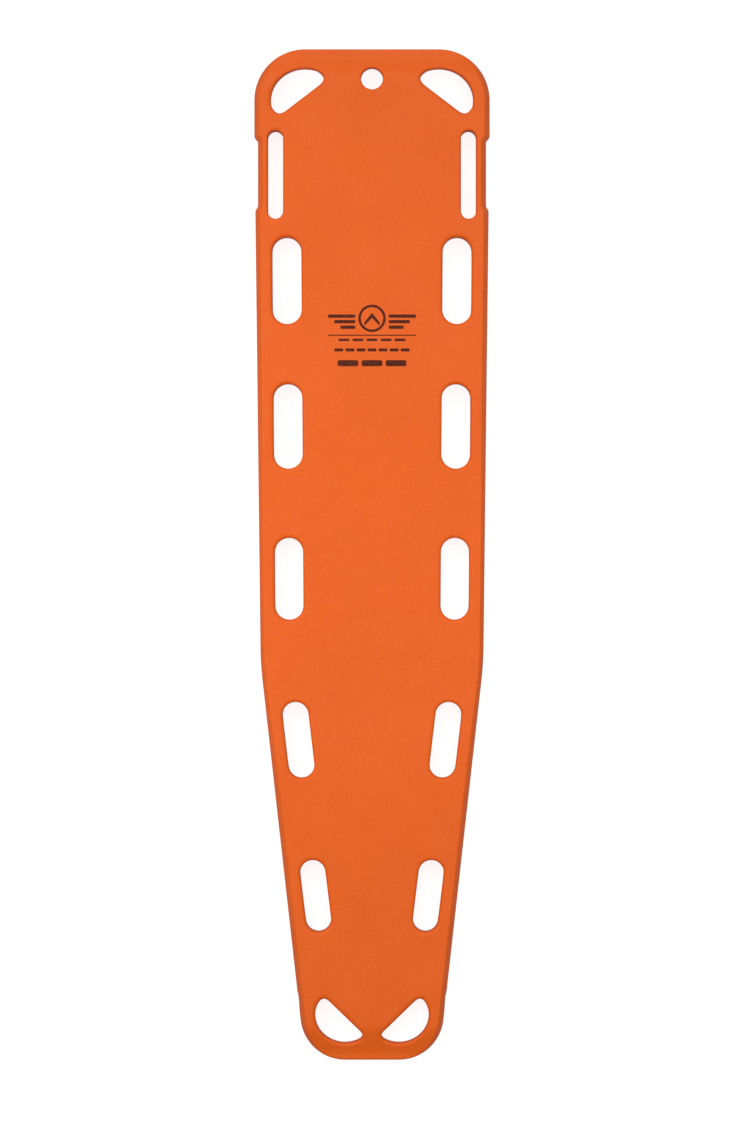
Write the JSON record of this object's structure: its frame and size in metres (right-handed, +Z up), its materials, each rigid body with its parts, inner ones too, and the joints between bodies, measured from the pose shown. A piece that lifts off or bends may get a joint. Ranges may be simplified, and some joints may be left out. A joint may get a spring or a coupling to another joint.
{
  "type": "spine board",
  "caption": "Flat moulded spine board with hand holds down both sides, head strap slots, corner handles and a tapered foot end.",
  "frame": {"origin": "centre of the board's outline, on the underside plane that it rests on", "axes": "+X across the board to the right as seen from above with the head end away from the viewer, +Y towards the head end, +Z up, out of the patient side"},
  "size_m": [0.426, 1.829, 0.057],
  "materials": {
    "board_hdpe": "satin",
    "foam": "matte",
    "rod_composite": "satin",
    "plug_hdpe": "satin",
    "print_ink": "matte"
  },
  "bodies": {
    "root": {"patient_side_shell": "board_hdpe", "underside_shell": "board_hdpe", "foam_core": "foam", "stiffener_rod_left": "rod_composite", "stiffener_rod_right": "rod_composite", "vent_plug_head_end": "plug_hdpe", "foam_fill_plug_foot_end": "plug_hdpe"}
  },
  "joints": []
}
